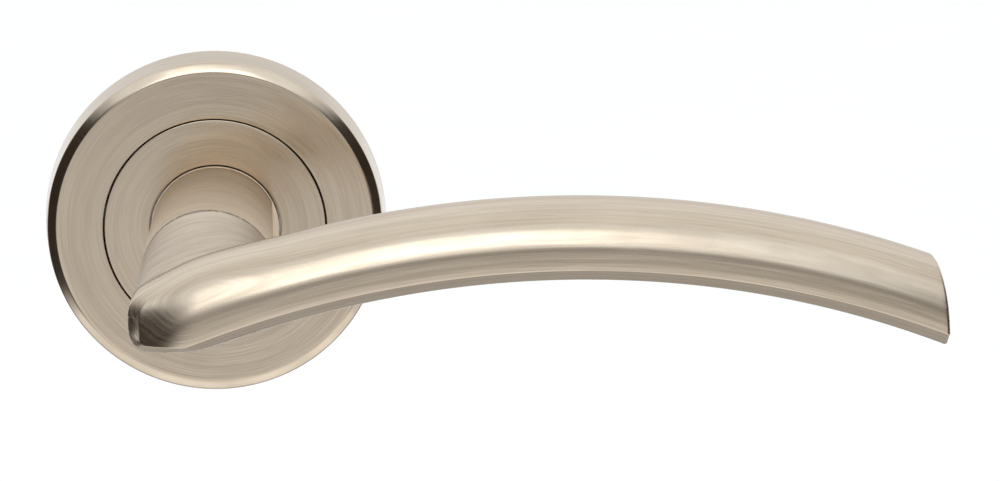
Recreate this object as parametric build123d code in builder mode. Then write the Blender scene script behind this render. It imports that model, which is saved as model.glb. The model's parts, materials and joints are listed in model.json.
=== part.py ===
from build123d import *
import math
import os

# Lever door handle on a round rose with concealed fixings.
# Millimetres. The door is at Y = 0 and the room is towards -Y, +Z is up.
# The origin is on the spindle axis, in the plane of the door.
# "Depth" is the distance in front of the door, so Y = -depth.
# Angles around the spindle are clockwise from the top, as seen from the room.

# Rose
rose_radius = 26.0
cover_taper = 0.8
cover_wall = 1.5
cover_front = 1.2
cover_bevel_width = 1.35
cover_bevel_depth = 1.0
cover_round = 0.6
disc_radius = 16.6
disc_front = 1.2
seam_gap = 0.2
disc_edge_chamfer = 0.15
housing_wall = 1.45
housing_clearance = 0.55

# Base plate
plate_depth = 2.5
plate_gap = 0.3
boss_wall = 1.0
boss_setback = 0.3
recess_floor = 0.6
recess_clearance = 0.4
lug_spacing = 38.0
lug_radius = 4.0
lug_length = 6.0
lug_hole_radius = 1.65
grip_ring_wire = 0.6
grip_ring_depth = 1.25
grip_clearance = 0.05

# Wood screws
wood_screw_head_radius = 2.8
wood_screw_radius = 1.5
wood_screw_length = 22.0
wood_screw_point = 3.5
wood_screw_clearance = 0.2
wood_screw_edge = 1.1
cross_recess_length = 3.5
cross_recess_width = 0.6
cross_recess_depth = 1.0

# Neck and spindle
neck_radius = 9.6
neck_flat_cut = 1.0
neck_length = 33.7
neck_clearance = 0.25
collar_height = 0.12
neck_edge_chamfer = 0.12
spigot_wall = 1.27
spigot_end = 0.15
spigot_flat_cut = 0.8
running_clearance = 0.05
fit_clearance = 0.05
bush_wall = 1.15
bush_setback = 0.02
bush_flange_setback = 0.3
spindle_side = 7.9
socket_clearance = 0.1
spindle_length = 100.0
spindle_chamfer = 0.6
socket_floor = 8.7
grub_radius = 2.5
grub_depth = 15.0
grub_gap = 0.02
grub_setback = 0.43
grub_hex = 2.5
grub_hex_depth = 2.2
stud_radius = 4.0
stud_length = 14.0
step_radius = 6.5
step_length = 3.0
screw_chamfer = 0.5

# Drive cam, return spring and stops
turn_range = 45.0
spring_room = 2.7
cam_thickness = 1.0
cam_root = 1.0
lug_width = 2.3
lug_half_angle = 14.0
lug_reach = 2.2
washer_thickness = 0.5
washer_gap = 0.05
washer_setback = 0.3
stop_pin_radius = 0.9
stop_pin_setback = 1.2
stop_pin_foot = 1.2
stop_pin_offset = 0.15
stop_gap_angle = 0.4
spring_wire = 0.9
spring_clearance = 0.4
spring_pitch = 0.95
spring_turns = 1.6
spring_foot_gap = 0.1
spring_leg_gap = 0.15
anchor_pin_radius = 0.6
anchor_pin_setback = 1.0
pin_chamfer = 0.15

# Circlip, disc spring and washer at the back of the spigot
circlip_thickness = 0.7
circlip_width = 1.6
circlip_groove = 0.45
circlip_gap_angle = 40.0
circlip_end_gap = 0.2
circlip_ear_angle = 28.0
circlip_ear_offset = 1.0
circlip_ear_radius = 1.2
circlip_ear_hole = 0.5
disc_spring_thickness = 0.25
disc_spring_width = 2.9
rear_washer_thickness = 0.3
rear_washer_width = 3.2

# Cassette screws
cassette_screw_radius = 0.45
cassette_head_radius = 1.1
cassette_head_depth = 0.6
cassette_screw_length = 3.6
cassette_slot_length = 1.4
cassette_slot_width = 0.35
cassette_slot_depth = 0.3

# Arm: an arched bar whose upper back edge, the brow, is an arc of a circle
brow_radius = 146.0
brow_rise = 14.0
arch_centre_x = 47.5
arm_height = 10.0
brow_reach = 16.3
front_bulge = 9.0
front_height = 7.3
keel_turn = 8.0
keel_setback = 2.0
keel_drop = 1.7
heel_reach = 17.8
heel_rise = 0.5
back_reach = 13.1
back_belly = 4.5
nose_reach = 10.0
nose_floor = 4.7
nose_floor_length = 12.0
nose_lower_round = 2.3
nose_upper_round = 2.6
tip_reach = 98.2
tip_lean = 3.5
tip_round = 0.5
neck_end_reach = 18.3
neck_end_flare = 0.6

# Radii worked out from the sizes above, from the spindle outwards
socket_side = spindle_side + 2 * socket_clearance
spigot_radius = socket_side / math.sqrt(2) + spigot_wall
spigot_flat = spigot_radius - spigot_flat_cut
bush_radius = spigot_radius + running_clearance + bush_wall
boss_radius = bush_radius + boss_wall
bush_flange_radius = boss_radius - bush_flange_setback
spring_radius = boss_radius + spring_clearance + spring_wire / 2
lug_inner_radius = spring_radius + spring_wire / 2 + spring_clearance
lug_outer_radius = lug_inner_radius + lug_width
cam_radius = lug_inner_radius - spring_clearance / 2
washer_outer_radius = lug_outer_radius - washer_setback
spring_leg_reach = lug_outer_radius - washer_setback
stop_pin_circle = lug_inner_radius + lug_width / 2 + stop_pin_offset
housing_inner_radius = lug_outer_radius + housing_clearance
housing_outer_radius = housing_inner_radius + housing_wall
cassette_screw_circle = housing_inner_radius + housing_wall / 2
rear_washer_radius = spigot_radius + rear_washer_width
disc_spring_radius = spigot_radius + disc_spring_width
recess_radius = rear_washer_radius + recess_clearance
neck_flat = neck_radius - neck_flat_cut
neck_end_half_width = neck_radius + neck_end_flare
disc_hole_radius = neck_radius + neck_clearance
cover_opening_radius = disc_radius + seam_gap
cover_inner_radius = rose_radius - cover_wall
cover_shoulder_radius = rose_radius - cover_taper
plate_radius = cover_inner_radius - plate_gap
wood_screw_circle = plate_radius - wood_screw_head_radius - wood_screw_edge
wood_screw_cone = wood_screw_head_radius - wood_screw_radius
lug_x = lug_spacing / 2
cassette_angles = (60, 180, 300)

# Depths worked out from the sizes above, from the door outwards
recess_depth = plate_depth - recess_floor
cam_back = plate_depth + spring_room
cam_front = cam_back + cam_thickness
washer_back = cam_front + washer_gap
disc_back = washer_back + washer_thickness + washer_gap
rose_depth = disc_back + disc_front
boss_depth = cam_back - boss_setback
stop_pin_top = cam_back - stop_pin_setback
anchor_pin_top = cam_back - anchor_pin_setback
spring_foot = plate_depth + spring_foot_gap + spring_wire / 2
circlip_back = spigot_end + circlip_end_gap
circlip_front = circlip_back + circlip_thickness
rear_washer_front = recess_depth - washer_gap
rear_washer_back = rear_washer_front - rear_washer_thickness
cover_shoulder_depth = rose_depth - cover_bevel_depth
joint_depth = rose_depth + neck_length
socket_end = joint_depth - socket_floor
brow_depth = joint_depth + brow_reach
heel_depth = joint_depth + heel_reach
back_depth = joint_depth + back_reach
neck_end_depth = joint_depth + neck_end_reach
arch_centre_z = brow_rise - brow_radius
keel_radius = brow_radius - arm_height
grub_tip = spindle_side / 2 + grub_gap
grub_length = neck_radius - grub_tip - grub_setback
beyond = 200.0

# Angles of the stops, the spring's legs and its anchor
stop_half_angle = math.degrees(stop_pin_radius / stop_pin_circle)
first_stop = -(lug_half_angle + stop_half_angle + stop_gap_angle)
last_stop = turn_range - first_stop
leg_half_angle = math.degrees(spring_wire / 2 / stop_pin_circle)
leg_gap_angle = math.degrees(spring_leg_gap / stop_pin_circle)
lug_leg = lug_half_angle + leg_half_angle + leg_gap_angle
anchor_leg = lug_leg + 360 * spring_turns
anchor_half_angle = math.degrees(anchor_pin_radius / stop_pin_circle)
anchor_angle = anchor_leg + leg_half_angle + leg_gap_angle + anchor_half_angle

os.makedirs("parts", exist_ok=True)


def around(radius, angle):
    # X and Z of a point at an angle clockwise from the top
    turn = math.radians(angle)
    return (radius * math.sin(turn), radius * math.cos(turn))


def turned(points):
    # A face to turn about the spindle axis, from points of radius and depth
    with BuildSketch(Plane.XY) as outline:
        with BuildLine():
            Polyline(*[(radius, -depth) for radius, depth in points], close=True)
        make_face()
    return outline.sketch


def ring(inner, outer, back, front):
    # The turned face of a plain ring
    return turned([(inner, back), (outer, back), (outer, front), (inner, front)])


def sector(inner, outer, half_angle):
    # A flat piece of a ring, centred on the top
    left_inner = around(inner, -half_angle)
    left_outer = around(outer, -half_angle)
    right_outer = around(outer, half_angle)
    right_inner = around(inner, half_angle)
    with BuildSketch() as piece_of_ring:
        with BuildLine():
            Line(left_inner, left_outer)
            ThreePointArc(left_outer, around(outer, 0), right_outer)
            Line(right_outer, right_inner)
            ThreePointArc(right_inner, around(inner, 0), left_inner)
        make_face()
    return piece_of_ring.sketch


def write(piece, name):
    piece.part.label = name
    export_step(piece.part, f"parts/{name}.step")


# Cover ring: a turned cup with a round opening, a tapered side and a bevelled front edge
with BuildPart() as cover_ring:
    with BuildSketch(Plane.XY) as cover_section:
        with BuildLine():
            Polyline(
                (cover_opening_radius, -rose_depth),
                (cover_shoulder_radius - cover_bevel_width, -rose_depth),
                (cover_shoulder_radius, -cover_shoulder_depth),
                (rose_radius, 0),
                (cover_inner_radius, 0),
                (cover_inner_radius, -plate_depth - plate_gap),
                (cover_shoulder_radius - cover_wall, -rose_depth + cover_front),
                (cover_opening_radius, -rose_depth + cover_front),
                close=True,
            )
        make_face()
        front_corners = cover_section.vertices().group_by(Axis.Y)[0]
        fillet(front_corners.sort_by(Axis.X)[-1], radius=cover_round)
    revolve(axis=Axis.Y)
write(cover_ring, "cover_ring")

# Inner disc: the round plate inside the seam, with the spring housing behind it
with BuildPart() as inner_disc:
    revolve(
        turned(
            [
                (disc_hole_radius, rose_depth),
                (disc_radius - disc_edge_chamfer, rose_depth),
                (disc_radius, rose_depth - disc_edge_chamfer),
                (disc_radius, disc_back),
                (housing_outer_radius, disc_back),
                (housing_outer_radius, plate_depth),
                (housing_inner_radius, plate_depth),
                (housing_inner_radius, disc_back),
                (disc_hole_radius, disc_back),
            ]
        ),
        axis=Axis.Y,
    )
    with BuildSketch(Plane.XZ.offset(plate_depth)):
        with Locations(*[around(cassette_screw_circle, turn) for turn in cassette_angles]):
            Circle(cassette_screw_radius)
    extrude(amount=cassette_screw_length - plate_depth + cassette_head_depth, mode=Mode.SUBTRACT)
write(inner_disc, "inner_disc")

# Base plate: bearing boss, circlip recess, threaded lugs, screw holes and a groove round its rim
groove_radius = cover_inner_radius - grip_clearance - 2 * grip_ring_wire
with BuildPart() as base_plate:
    revolve(
        turned(
            [
                (recess_radius, 0),
                (plate_radius, 0),
                (plate_radius, grip_ring_depth - grip_ring_wire),
                (groove_radius, grip_ring_depth - grip_ring_wire),
                (groove_radius, grip_ring_depth + grip_ring_wire),
                (plate_radius, grip_ring_depth + grip_ring_wire),
                (plate_radius, plate_depth),
                (boss_radius, plate_depth),
                (boss_radius, boss_depth),
                (bush_radius, boss_depth),
                (bush_radius, recess_depth),
                (recess_radius, recess_depth),
            ]
        ),
        axis=Axis.Y,
    )
    with BuildSketch(Plane.XZ.offset(-lug_length)):
        with Locations((-lug_x, 0), (lug_x, 0)):
            Circle(lug_radius)
    extrude(amount=lug_length)
    with BuildSketch(Plane.XZ.offset(-lug_length)):
        with Locations((-lug_x, 0), (lug_x, 0)):
            Circle(lug_hole_radius)
    extrude(amount=lug_length + plate_depth, mode=Mode.SUBTRACT)
    for side in (-1, 1):
        screw_z = side * wood_screw_circle
        with BuildSketch(Plane.XY.offset(screw_z)):
            with BuildLine():
                Polyline(
                    (0, -plate_depth),
                    (wood_screw_head_radius + wood_screw_clearance, -plate_depth),
                    (wood_screw_radius + wood_screw_clearance, wood_screw_cone - plate_depth),
                    (wood_screw_radius + wood_screw_clearance, 0),
                    (0, 0),
                    close=True,
                )
            make_face()
        revolve(axis=Axis((0, 0, screw_z), (0, 1, 0)), mode=Mode.SUBTRACT)
    with BuildSketch(Plane.XZ):
        with Locations(*[around(cassette_screw_circle, turn) for turn in cassette_angles]):
            Circle(cassette_screw_radius)
    extrude(amount=plate_depth, mode=Mode.SUBTRACT)
    with BuildSketch(Plane.XZ):
        with Locations(*[around(cassette_screw_circle, turn) for turn in cassette_angles]):
            Circle(cassette_head_radius)
    extrude(amount=cassette_head_depth, mode=Mode.SUBTRACT)
    with BuildSketch(Plane.XZ.offset(stop_pin_foot)):
        with Locations(around(stop_pin_circle, first_stop), around(stop_pin_circle, last_stop)):
            Circle(stop_pin_radius)
        with Locations(around(stop_pin_circle, anchor_angle)):
            Circle(anchor_pin_radius)
    extrude(amount=plate_depth - stop_pin_foot, mode=Mode.SUBTRACT)
write(base_plate, "base_plate")

# Grip ring: the rubber ring in the rim groove that the cover pushes over
with BuildPart() as grip_ring:
    with BuildSketch(Plane.XY) as grip_section:
        with Locations((cover_inner_radius - grip_clearance - grip_ring_wire, -grip_ring_depth)):
            Circle(grip_ring_wire)
    revolve(axis=Axis.Y)
write(grip_ring, "grip_ring")

# Wood screws: two countersunk screws above and below the spindle
with BuildPart() as wood_screws:
    for side in (-1, 1):
        screw_z = side * wood_screw_circle
        with BuildSketch(Plane.XY.offset(screw_z)):
            with BuildLine():
                Polyline(
                    (0, -plate_depth),
                    (wood_screw_head_radius, -plate_depth),
                    (wood_screw_radius, wood_screw_cone - plate_depth),
                    (wood_screw_radius, wood_screw_length - wood_screw_point - plate_depth),
                    (0, wood_screw_length - plate_depth),
                    close=True,
                )
            make_face()
        revolve(axis=Axis((0, 0, screw_z), (0, 1, 0)))
        with BuildSketch(Plane.XZ.offset(plate_depth)):
            with Locations((0, screw_z)):
                Rectangle(cross_recess_length, cross_recess_width)
                Rectangle(cross_recess_width, cross_recess_length)
        extrude(amount=-cross_recess_depth, mode=Mode.SUBTRACT)
write(wood_screws, "wood_screws")

# Cassette screws: three small screws from the back that hold the inner disc to the base plate
with BuildPart() as cassette_screws:
    with BuildSketch(Plane.XZ):
        with Locations(*[around(cassette_screw_circle, turn) for turn in cassette_angles]):
            Circle(cassette_head_radius)
    extrude(amount=cassette_head_depth)
    with BuildSketch(Plane.XZ.offset(cassette_head_depth)):
        with Locations(*[around(cassette_screw_circle, turn) for turn in cassette_angles]):
            Circle(cassette_screw_radius)
    extrude(amount=cassette_screw_length - cassette_head_depth)
    with BuildSketch(Plane.XZ):
        with Locations(*[around(cassette_screw_circle, turn) for turn in cassette_angles]):
            Rectangle(cassette_slot_length, cassette_slot_width)
    extrude(amount=cassette_slot_depth, mode=Mode.SUBTRACT)
write(cassette_screws, "cassette_screws")

# Neck bush: the flanged nylon bearing pressed into the boss
with BuildPart() as neck_bush:
    revolve(
        turned(
            [
                (spigot_radius + running_clearance, recess_depth - bush_setback),
                (bush_radius, recess_depth - bush_setback),
                (bush_radius, boss_depth),
                (bush_flange_radius, boss_depth),
                (bush_flange_radius, cam_back - washer_gap),
                (spigot_radius + running_clearance, cam_back - washer_gap),
            ]
        ),
        axis=Axis.Y,
    )
write(neck_bush, "neck_bush")

# Front washer: nylon, between the drive cam and the back of the inner disc
with BuildPart() as front_washer:
    revolve(
        ring(disc_hole_radius + fit_clearance, washer_outer_radius, washer_back + washer_gap, disc_back),
        axis=Axis.Y,
    )
write(front_washer, "front_washer")

# Stop pins: the drive cam's lug rests on one and turns as far as the other
with BuildPart() as stop_pins:
    with BuildSketch(Plane.XZ.offset(stop_pin_foot)):
        with Locations(around(stop_pin_circle, first_stop), around(stop_pin_circle, last_stop)):
            Circle(stop_pin_radius)
    extrude(amount=stop_pin_top - stop_pin_foot)
    chamfer(stop_pins.faces().sort_by(Axis.Y)[0:2].edges(), length=pin_chamfer)
write(stop_pins, "stop_pins")

# Return spring: a torsion spring round the boss, with one leg on the lug and one on the anchor pin
spring_start_x, spring_start_z = around(1, anchor_leg)
spring_plane = Plane(
    origin=(0, -spring_foot, 0),
    x_dir=(spring_start_x, 0, spring_start_z),
    z_dir=(0, -1, 0),
)
with BuildPart() as upright_spring:
    with BuildLine() as coil:
        Helix(pitch=spring_pitch, height=spring_pitch * spring_turns, radius=spring_radius)
    with BuildSketch(Plane(origin=coil.line @ 0, z_dir=coil.line % 0)):
        Circle(spring_wire / 2)
    sweep(path=coil.line, is_frenet=True)
    for end in (coil.line @ 0, coil.line @ 1):
        with BuildSketch(Plane(origin=end, z_dir=Vector(end.X, end.Y, 0).normalized())):
            Circle(spring_wire / 2)
        extrude(amount=spring_leg_reach - spring_radius)
        with Locations(end):
            Sphere(spring_wire / 2)
with BuildPart() as return_spring:
    add(upright_spring.part.moved(spring_plane.location))
write(return_spring, "return_spring")

# Spring anchor: the fixed pin beside the spring's other leg
with BuildPart() as spring_anchor:
    with BuildSketch(Plane.XZ.offset(stop_pin_foot)):
        with Locations(around(stop_pin_circle, anchor_angle)):
            Circle(anchor_pin_radius)
    extrude(amount=anchor_pin_top - stop_pin_foot)
    chamfer(spring_anchor.faces().sort_by(Axis.Y)[0].edges(), length=pin_chamfer)
write(spring_anchor, "spring_anchor")

# Drive cam: a keyed plate on the spigot, with a lug that reaches back past the spring
with BuildPart() as drive_cam:
    with BuildSketch(Plane.XZ.offset(cam_back)):
        Circle(cam_radius)
        add(sector(cam_radius - cam_root, lug_outer_radius, lug_half_angle))
    extrude(amount=cam_thickness)
    with BuildSketch(Plane.XZ.offset(cam_back - lug_reach)):
        add(sector(lug_inner_radius, lug_outer_radius, lug_half_angle))
    extrude(amount=lug_reach + cam_thickness)
    with BuildSketch(Plane.XZ.offset(cam_back)):
        Circle(spigot_radius + fit_clearance)
        Rectangle(2 * spigot_radius, 2 * (spigot_flat + fit_clearance), mode=Mode.INTERSECT)
    extrude(amount=cam_thickness, mode=Mode.SUBTRACT)
write(drive_cam, "drive_cam")

# Circlip: a split ring in the groove at the back of the spigot
with BuildPart() as circlip:
    with BuildSketch(Plane.XZ.offset(circlip_back)):
        Circle(spigot_radius - circlip_groove + circlip_width)
        Circle(spigot_radius - circlip_groove, mode=Mode.SUBTRACT)
        add(sector(spigot_radius / 2, 2 * spigot_radius, circlip_gap_angle / 2), mode=Mode.SUBTRACT)
        for turn in (-circlip_ear_angle, circlip_ear_angle):
            with Locations(around(spigot_radius + circlip_ear_offset, turn)):
                Circle(circlip_ear_radius)
                Circle(circlip_ear_hole, mode=Mode.SUBTRACT)
        Circle(spigot_radius - circlip_groove, mode=Mode.SUBTRACT)
    extrude(amount=circlip_thickness)
write(circlip, "circlip")

# Disc spring: a dished washer that the circlip presses forwards
washer_inner_radius = spigot_radius + fit_clearance
with BuildPart() as disc_spring:
    revolve(
        turned(
            [
                (washer_inner_radius, circlip_front),
                (washer_inner_radius, circlip_front + disc_spring_thickness),
                (disc_spring_radius, rear_washer_back),
                (disc_spring_radius, rear_washer_back - disc_spring_thickness),
            ]
        ),
        axis=Axis.Y,
    )
write(disc_spring, "disc_spring")

# Rear washer: the flat ring between the disc spring and the base plate
with BuildPart() as rear_washer:
    revolve(
        ring(washer_inner_radius, rear_washer_radius, rear_washer_back, rear_washer_front),
        axis=Axis.Y,
    )
write(rear_washer, "rear_washer")

# Neck sleeve: the turned neck, with its spigot, square socket and a flat on the arm's side
with BuildPart() as neck_sleeve:
    revolve(
        turned(
            [
                (0, spigot_end),
                (spigot_radius, spigot_end),
                (spigot_radius, circlip_back),
                (spigot_radius - circlip_groove, circlip_back),
                (spigot_radius - circlip_groove, circlip_front),
                (spigot_radius, circlip_front),
                (spigot_radius, cam_front),
                (neck_radius, cam_front),
                (neck_radius, rose_depth + collar_height),
                (neck_radius - neck_edge_chamfer, rose_depth + collar_height),
                (neck_radius - neck_edge_chamfer, joint_depth),
                (0, joint_depth),
            ]
        ),
        axis=Axis.Y,
    )
    with BuildSketch(Plane.XZ.offset(rose_depth + collar_height)):
        with Locations((neck_flat, 0)):
            Rectangle(neck_radius, 2 * neck_radius, align=(Align.MIN, Align.CENTER))
    extrude(amount=neck_length, mode=Mode.SUBTRACT)
    with BuildSketch(Plane.XZ.offset(cam_back)):
        Circle(spigot_radius)
        Rectangle(2 * spigot_radius, 2 * spigot_flat, mode=Mode.SUBTRACT)
    extrude(amount=cam_thickness, mode=Mode.SUBTRACT)
    with BuildSketch(Plane.XZ.offset(spigot_end)):
        Rectangle(socket_side, socket_side)
    extrude(amount=socket_end - spigot_end, mode=Mode.SUBTRACT)
    with BuildSketch(Plane.XZ.offset(socket_end)):
        Circle(stud_radius + fit_clearance)
    extrude(amount=joint_depth - socket_end, mode=Mode.SUBTRACT)
    with BuildSketch(Plane.XZ.offset(joint_depth - step_length - fit_clearance)):
        Circle(step_radius + fit_clearance)
    extrude(amount=step_length + fit_clearance, mode=Mode.SUBTRACT)
    with BuildSketch(Plane.XY.offset(-neck_radius)):
        with Locations((0, -grub_depth)):
            Circle(grub_radius + fit_clearance)
    extrude(amount=neck_radius, mode=Mode.SUBTRACT)
write(neck_sleeve, "neck_sleeve")

# Grub screw: bears on the spindle from under the neck
with BuildPart() as grub_screw:
    with BuildSketch(Plane.XY.offset(-grub_tip)):
        with Locations((0, -grub_depth)):
            Circle(grub_radius)
    extrude(amount=-grub_length)
    chamfer(grub_screw.faces().sort_by(Axis.Z)[-1].edges(), length=screw_chamfer)
    with BuildSketch(Plane.XY.offset(-grub_tip - grub_length)):
        with Locations((0, -grub_depth)):
            RegularPolygon(grub_hex / 2, 6, major_radius=False)
    extrude(amount=grub_hex_depth, mode=Mode.SUBTRACT)
write(grub_screw, "grub_screw")

# Spindle: a square bar through the door to the handle on the other side
with BuildPart() as spindle:
    with BuildSketch(Plane.XZ.offset(socket_end - spindle_length)):
        Rectangle(spindle_side, spindle_side)
    extrude(amount=spindle_length - fit_clearance)
    chamfer(spindle.faces().sort_by(Axis.Y)[-1].edges(), length=spindle_chamfer)
write(spindle, "spindle")

# Neck stud: the hidden threaded stud that draws the arm onto the neck
with BuildPart() as neck_stud:
    with BuildSketch(Plane.XZ.offset(joint_depth - stud_length / 2)):
        Circle(stud_radius)
    extrude(amount=stud_length)
    chamfer(neck_stud.edges().filter_by(GeomType.CIRCLE), length=screw_chamfer)
write(neck_stud, "neck_stud")

# Arm blade: the arched bar, turned about its arch centre and trimmed at the nose and the tip
trim = 2.0
nose_turn = math.degrees(math.asin((arch_centre_x + nose_reach + trim) / keel_radius))
tip_turn = math.degrees(math.asin((tip_reach - arch_centre_x + trim) / keel_radius))
nose_plane = Plane(
    origin=(arch_centre_x, 0, arch_centre_z),
    x_dir=(0, 1, 0),
    z_dir=(math.cos(math.radians(nose_turn)), 0, math.sin(math.radians(nose_turn))),
)
brow_slope = math.asin((arch_centre_x + nose_reach) / brow_radius)
nose_brow_z = arch_centre_z + math.sqrt(brow_radius**2 - (arch_centre_x + nose_reach) ** 2)
roof_run = arch_centre_x + nose_reach
tip_slope = math.tan(math.radians(tip_lean))
with BuildPart() as arm_blade:
    with BuildSketch(nose_plane):
        with BuildLine():
            face_curve = EllipticalCenterArc(
                (-brow_depth, brow_radius - front_height),
                x_radius=front_bulge,
                y_radius=front_height,
                start_angle=90,
                arc_size=90 + keel_turn,
            )
            keel_edge = (face_curve @ 1).X + keel_setback
            heel = (-heel_depth, keel_radius - heel_rise)
            Line(face_curve @ 1, (keel_edge, (face_curve @ 1).Y - keel_drop))
            Line((keel_edge, (face_curve @ 1).Y - keel_drop), heel)
            ThreePointArc(heel, (-back_depth, keel_radius + back_belly), face_curve @ 0)
        make_face()
    revolve(axis=Axis((arch_centre_x, 0, arch_centre_z), (0, 1, 0)), revolution_arc=nose_turn + tip_turn)
    with BuildSketch(Plane.XZ) as blade_outline:
        with BuildLine():
            Polyline(
                (-nose_reach, -nose_floor),
                (-nose_reach, nose_brow_z),
                (-nose_reach + roof_run, nose_brow_z + roof_run * math.tan(brow_slope)),
                (tip_reach - beyond * tip_slope, beyond),
                (tip_reach + beyond * tip_slope, -beyond),
                (nose_floor_length - nose_reach, -beyond),
                (nose_floor_length - nose_reach, -nose_floor),
                close=True,
            )
        make_face()
        lower_corner, upper_corner = blade_outline.vertices().sort_by(Axis.X)[0:2].sort_by(Axis.Y)
        fillet(lower_corner, radius=nose_lower_round)
        fillet(upper_corner, radius=nose_upper_round)
    extrude(amount=beyond, mode=Mode.INTERSECT)
    fillet(arm_blade.faces().sort_by(Axis.X)[-1].edges(), radius=tip_round)

# Lever arm: the blade and the short neck behind it, which narrows from round to the blade's height
neck_top_z = arch_centre_z + math.sqrt(brow_radius**2 - arch_centre_x**2)
neck_end_z = (neck_top_z - nose_floor) / 2
neck_end_slope = math.asin(arch_centre_x / brow_radius)
neck_end_half_height = (neck_top_z + nose_floor) / 2 * math.cos(neck_end_slope)
with BuildPart() as lever_arm:
    with BuildSketch(Plane.XZ.offset(joint_depth)):
        Circle(neck_radius - neck_edge_chamfer)
    with BuildSketch(Plane.XZ.offset(neck_end_depth)):
        with Locations((0, neck_end_z)):
            Ellipse(neck_end_half_width, neck_end_half_height, rotation=math.degrees(neck_end_slope))
    loft()
    with BuildSketch(Plane.XZ.offset(joint_depth)):
        with Locations((neck_flat, 0)):
            Rectangle(neck_radius, 2 * neck_radius, align=(Align.MIN, Align.CENTER))
    extrude(amount=neck_end_depth - joint_depth, mode=Mode.SUBTRACT)
    add(arm_blade.part)
    with BuildSketch(Plane.XZ.offset(joint_depth - step_length)):
        Circle(step_radius)
    extrude(amount=step_length)
    with BuildSketch(Plane.XZ.offset(joint_depth - step_length)):
        Circle(stud_radius + fit_clearance)
    extrude(amount=stud_length / 2 + step_length, mode=Mode.SUBTRACT)
write(lever_arm, "lever_arm")
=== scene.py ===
import json
import math

import bmesh
import bpy
import numpy as np
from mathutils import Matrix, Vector


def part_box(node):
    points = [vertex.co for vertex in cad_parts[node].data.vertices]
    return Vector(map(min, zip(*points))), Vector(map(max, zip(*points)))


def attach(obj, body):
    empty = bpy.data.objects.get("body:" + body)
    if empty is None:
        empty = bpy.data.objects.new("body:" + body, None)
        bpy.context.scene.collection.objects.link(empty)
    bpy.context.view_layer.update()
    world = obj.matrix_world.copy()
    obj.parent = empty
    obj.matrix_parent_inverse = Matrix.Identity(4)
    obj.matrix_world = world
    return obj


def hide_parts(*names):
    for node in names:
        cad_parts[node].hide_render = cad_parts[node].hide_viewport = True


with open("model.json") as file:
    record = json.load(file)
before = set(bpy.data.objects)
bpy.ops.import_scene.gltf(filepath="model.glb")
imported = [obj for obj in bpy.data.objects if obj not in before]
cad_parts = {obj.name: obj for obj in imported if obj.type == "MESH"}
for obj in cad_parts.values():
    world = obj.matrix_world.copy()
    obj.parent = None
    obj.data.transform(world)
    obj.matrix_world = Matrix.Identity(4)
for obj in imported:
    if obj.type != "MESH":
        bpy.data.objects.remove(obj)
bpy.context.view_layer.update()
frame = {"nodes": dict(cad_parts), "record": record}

scene = bpy.context.scene
mm = 0.001
print("frame loaded")


# Shader sockets with arithmetic, so a material reads as a formula

class Wire:
    def __init__(self, tree, socket):
        self.tree = tree
        self.socket = socket

    def kind(self):
        if self.socket.type == "RGBA":
            return "colour"
        return "vector" if self.socket.type == "VECTOR" else "number"

    def feed(self, value, target):
        if isinstance(value, Wire):
            self.tree.links.new(value.socket, target)
        elif isinstance(value, (tuple, list)) and target.type == "RGBA" and len(value) == 3:
            target.default_value = (*value, 1)
        else:
            target.default_value = value

    def make(self, nodeType, settings=None, inputs=None, out=0):
        node = self.tree.nodes.new(nodeType)
        for key, value in (settings or {}).items():
            if key == "stops":
                self.setStops(node.color_ramp.elements, value)
            else:
                setattr(node, key, value)
        for key, value in (inputs or {}).items():
            self.feed(value, node.inputs[key])
        return Wire(self.tree, node.outputs[out])

    def setStops(self, elements, stops):
        # A new ramp already has two stops
        for index, (position, colour) in enumerate(stops):
            stop = elements[index] if index < 2 else elements.new(position)
            stop.position = position
            stop.color = (*colour, 1)

    def combine(self, mode, a, b, clamp=False):
        parts = [item for item in (a, b) if isinstance(item, Wire)]
        kinds = {item.kind() for item in parts}
        if kinds == {"number"} and not any(isinstance(item, tuple) for item in (a, b)):
            return self.make("ShaderNodeMath", {"operation": mode, "use_clamp": clamp}, {0: a, 1: b})
        spread = [item if isinstance(item, (Wire, tuple)) else (item, item, item) for item in (a, b)]
        if "colour" in kinds:
            settings = {"data_type": "RGBA", "blend_type": mode}
            return self.make("ShaderNodeMix", settings, {0: 1.0, 6: spread[0], 7: spread[1]}, 2)
        return self.make("ShaderNodeVectorMath", {"operation": mode}, {0: spread[0], 1: spread[1]})

    def __add__(self, other):
        return self.combine("ADD", self, other)

    def __radd__(self, other):
        return self.combine("ADD", other, self)

    def __sub__(self, other):
        return self.combine("SUBTRACT", self, other)

    def __rsub__(self, other):
        return self.combine("SUBTRACT", other, self)

    def __mul__(self, other):
        return self.combine("MULTIPLY", self, other)

    def __rmul__(self, other):
        return self.combine("MULTIPLY", other, self)

    def __truediv__(self, other):
        return self.combine("DIVIDE", self, other)

    def maths(self, mode, other=0.0, clamp=False):
        return self.combine(mode, self, other, clamp)

    def step(self, low, high, outLow=0.0, outHigh=1.0):
        inputs = {0: self, 1: low, 2: high, 3: outLow, 4: outHigh}
        return self.make("ShaderNodeMapRange", {"interpolation_type": "SMOOTHSTEP"}, inputs)

    def blend(self, first, second):
        inputs = {0: self, 6: first, 7: second}
        return self.make("ShaderNodeMix", {"data_type": "RGBA"}, inputs, 2)

    def noise(self, scale, detail=2.0, rough=0.5):
        inputs = {"Vector": self, "Scale": scale, "Detail": detail, "Roughness": rough}
        return self.make("ShaderNodeTexNoise", {}, inputs)

    def split(self):
        node = self.make("ShaderNodeSeparateXYZ", {}, {0: self}).socket.node
        return [Wire(self.tree, output) for output in node.outputs]

    def join(self, x, y, z):
        return self.make("ShaderNodeCombineXYZ", {}, {0: x, 1: y, 2: z})


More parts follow.
